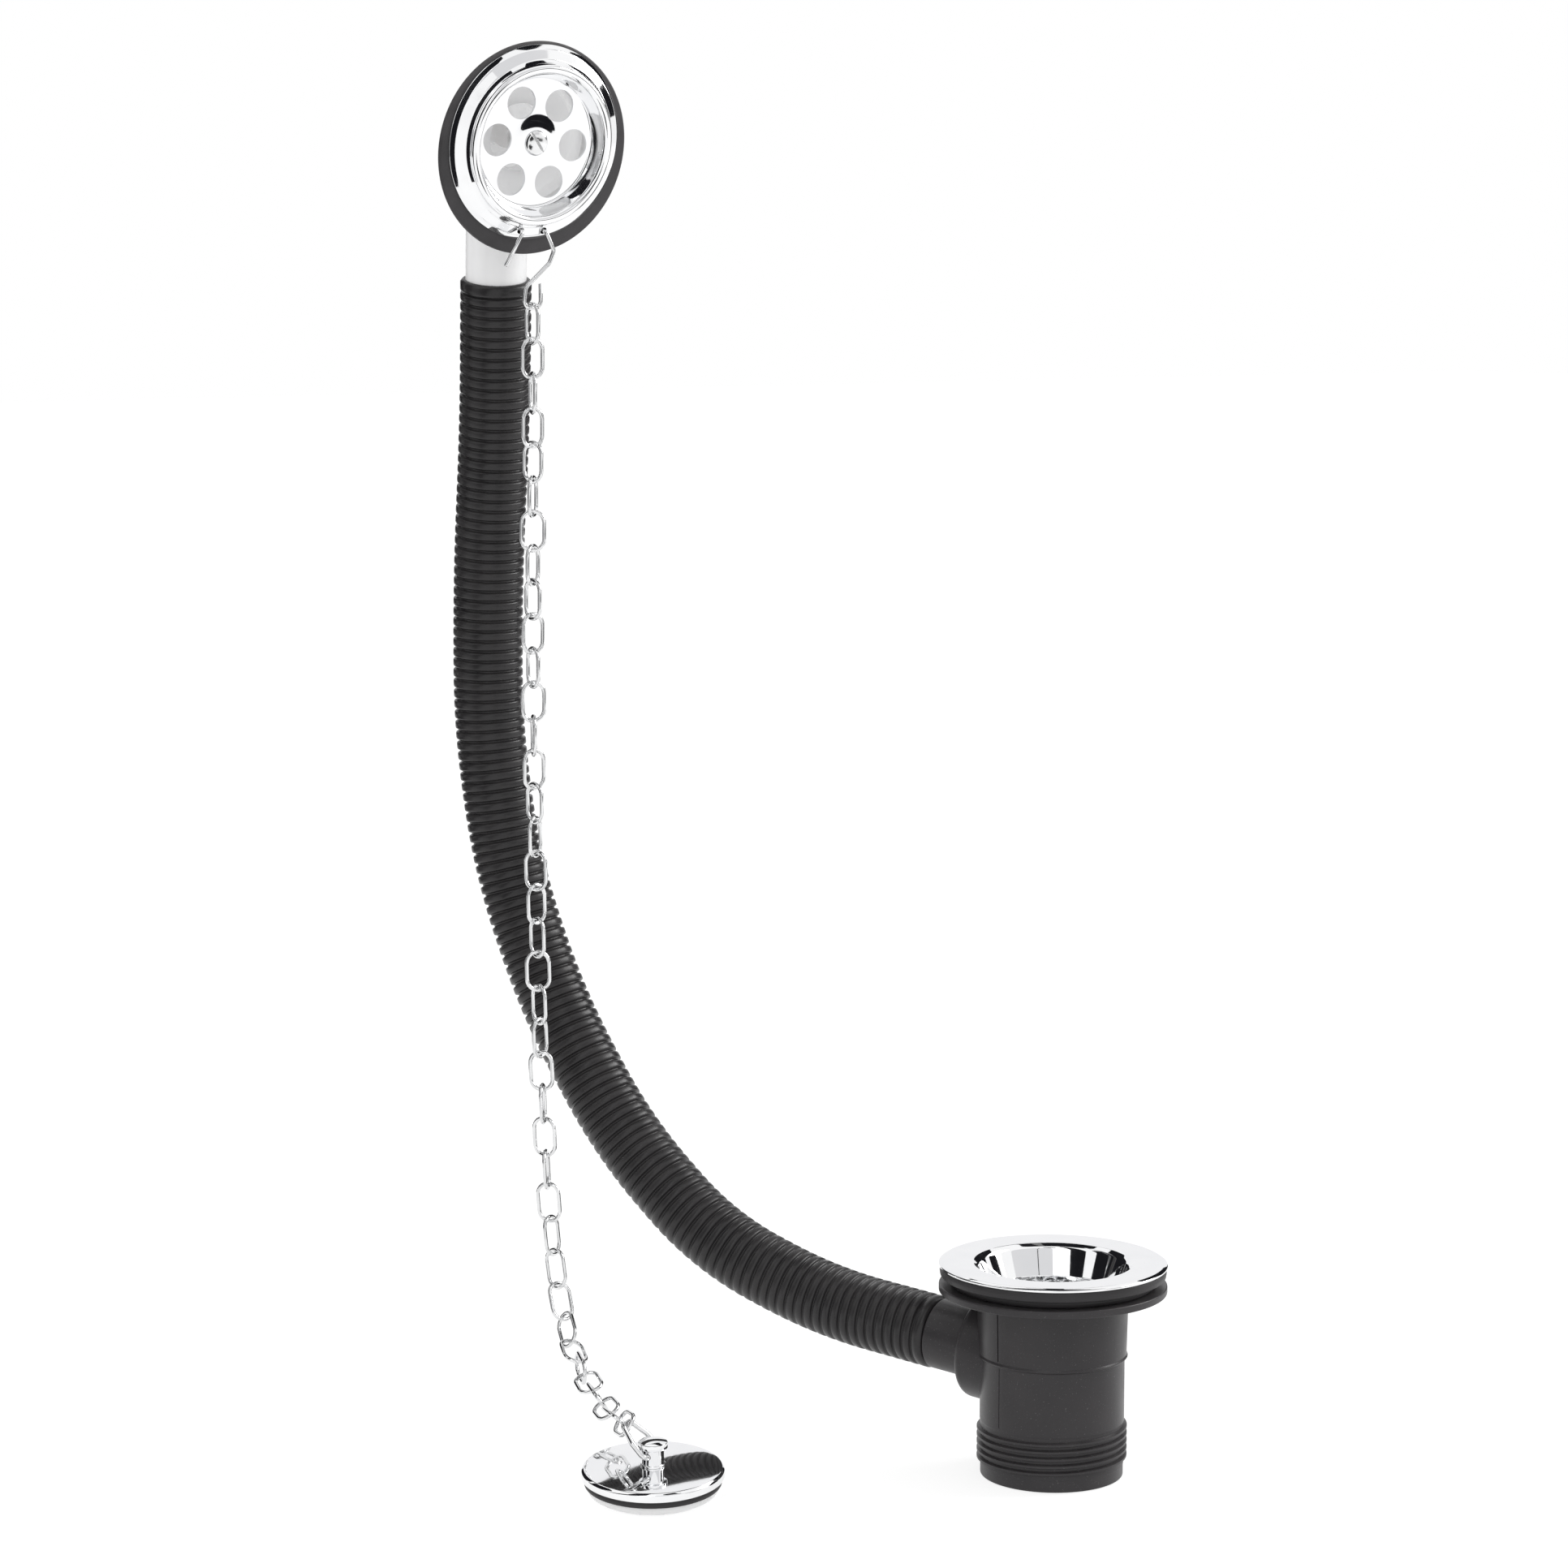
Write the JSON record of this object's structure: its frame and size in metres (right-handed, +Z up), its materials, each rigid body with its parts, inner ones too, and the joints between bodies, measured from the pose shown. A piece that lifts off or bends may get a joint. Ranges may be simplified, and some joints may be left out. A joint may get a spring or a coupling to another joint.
{
  "type": "bath waste and overflow",
  "caption": "Bath waste and overflow: chrome flange on a charcoal body, corrugated hose up to a round chrome overflow plate, and a chrome plug on a link chain.",
  "frame": {"origin": "centre of the outlet's lower rim, on the waste's axis", "axes": "+Z up along the waste's axis, -Y the way the overflow's face looks"},
  "size_m": [0.1774, 0.2479, 0.4497],
  "materials": {
    "chrome_plate": "polished",
    "chain_wire": "bright wire",
    "steel_screw": "turned steel",
    "brass": "turned brass",
    "black_rubber": "matt rubber",
    "charcoal_plastic": "moulded, satin",
    "charcoal_hose": "corrugated, satin",
    "white_plastic": "moulded, satin"
  },
  "bodies": {
    "root": {"chain_hook": "chain_wire", "chain_link_01": "chain_wire", "chain_link_02": "chain_wire", "chain_link_03": "chain_wire", "chain_link_04": "chain_wire", "chain_link_05": "chain_wire", "chain_link_06": "chain_wire", "chain_link_07": "chain_wire", "chain_link_08": "chain_wire", "chain_link_09": "chain_wire", "chain_link_10": "chain_wire", "chain_link_11": "chain_wire", "chain_link_12": "chain_wire", "chain_link_13": "chain_wire", "chain_link_14": "chain_wire", "chain_link_15": "chain_wire", "chain_link_16": "chain_wire", "chain_link_17": "chain_wire", "chain_link_18": "chain_wire", "chain_link_19": "chain_wire", "chain_link_20": "chain_wire", "chain_link_21": "chain_wire", "chain_link_22": "chain_wire", "chain_link_23": "chain_wire", "chain_link_24": "chain_wire", "chain_link_25": "chain_wire", "chain_link_26": "chain_wire", "chain_link_27": "chain_wire", "chain_link_28": "chain_wire", "chain_link_29": "chain_wire", "chain_link_30": "chain_wire", "chain_link_31": "chain_wire", "chain_link_32": "chain_wire", "chain_link_33": "chain_wire", "chain_link_34": "chain_wire", "chain_link_35": "chain_wire", "chain_link_36": "chain_wire", "chain_link_37": "chain_wire", "chain_link_38": "chain_wire", "faceplate": "chrome_plate", "lower_seal": "black_rubber", "overflow_elbow": "white_plastic", "overflow_hose": "charcoal_hose", "overflow_insert": "brass", "overflow_screw": "steel_screw", "overflow_seal": "black_rubber", "plug_base": "white_plastic", "plug_cap": "chrome_plate", "plug_post": "chrome_plate", "plug_seal": "black_rubber", "plug_shackle": "chain_wire", "upper_seal": "black_rubber", "waste_body": "charcoal_plastic", "waste_flange": "chrome_plate", "waste_insert": "brass", "waste_screw": "steel_screw"}
  },
  "joints": []
}
